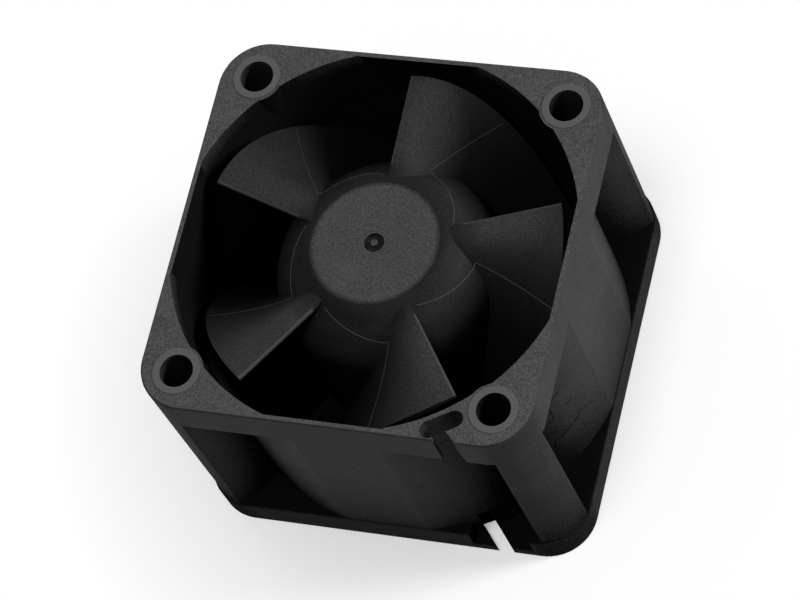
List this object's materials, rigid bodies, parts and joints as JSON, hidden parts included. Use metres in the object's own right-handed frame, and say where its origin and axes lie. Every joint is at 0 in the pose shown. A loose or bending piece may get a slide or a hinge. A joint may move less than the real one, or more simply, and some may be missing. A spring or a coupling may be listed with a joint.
{
  "type": "server fan module",
  "caption": "Square axial cooling fan for a server: moulded frame with round duct, twisted-blade impeller on ball bearings, stator motor and guide vanes.",
  "frame": {"origin": "centre of the exhaust face, on which the fan lies", "axes": "+Z along the fan axis from the exhaust face to the intake face; +X and +Y along the sides of the square frame, with the wire slot beside the +X -Y corner"},
  "size_m": [0.04, 0.04, 0.028],
  "materials": {
    "frame_plastic": "fine-textured black glass-filled plastic",
    "impeller_plastic": "smooth matte black plastic",
    "brass": "turned",
    "ground_steel": "ground",
    "bearing_steel": "polished",
    "ball_steel": "mirror polished",
    "cage_steel": "pressed",
    "spring_steel": "oiled spring steel",
    "yoke_steel": "zinc-plated",
    "magnet": "bonded ferrite, matt",
    "laminations": "stacked sheet steel",
    "insulator_nylon": "natural nylon",
    "copper_winding": "enamelled copper wire",
    "board_laminate": "solder-masked glass-epoxy",
    "chip_epoxy": "moulded epoxy",
    "component_ceramic": "sintered, with tinned ends",
    "tinned_pins": "tin-plated",
    "solder": "bright solder"
  },
  "bodies": {
    "frame": {"housing": "frame_plastic", "bearing_tube": "brass", "front_bearing_outer": "bearing_steel", "rear_bearing_outer": "bearing_steel", "stator_core": "laminations", "stator_insulator_front": "insulator_nylon", "stator_insulator_rear": "insulator_nylon", "coil_1": "copper_winding", "coil_2": "copper_winding", "coil_3": "copper_winding", "coil_4": "copper_winding", "circuit_board": "board_laminate", "driver_chip": "chip_epoxy", "hall_sensor": "chip_epoxy", "board_components": "component_ceramic", "winding_pins": "tinned_pins", "solder_joints": "solder"},
    "rotor": {"impeller": "impeller_plastic", "rotor_yoke": "yoke_steel", "rotor_magnet": "magnet", "shaft_bush": "brass", "shaft": "ground_steel", "front_bearing_inner": "bearing_steel", "rear_bearing_inner": "bearing_steel", "preload_spring": "spring_steel", "retaining_clip": "spring_steel"},
    "front_ball_set": {"front_bearing_balls": "ball_steel", "front_bearing_cage": "cage_steel"},
    "rear_ball_set": {"rear_bearing_balls": "ball_steel", "rear_bearing_cage": "cage_steel"}
  },
  "joints": [
    {"name": "rotor_spin", "type": "hinge", "parent": "frame", "child": "rotor", "pos_m": [0, 0, 0.014], "axis": [0, 0, 1], "continuous": true},
    {"name": "front_ball_orbit", "type": "hinge", "parent": "frame", "child": "front_ball_set", "pos_m": [0, 0, 0.01555], "axis": [0, 0, 1], "continuous": true},
    {"name": "rear_ball_orbit", "type": "hinge", "parent": "frame", "child": "rear_ball_set", "pos_m": [0, 0, 0.0026], "axis": [0, 0, 1], "continuous": true}
  ],
  "couplings": [
    {"joint": "front_ball_orbit", "follows": "rotor_spin", "ratio": 0.38571},
    {"joint": "rear_ball_orbit", "follows": "rotor_spin", "ratio": 0.38571}
  ]
}
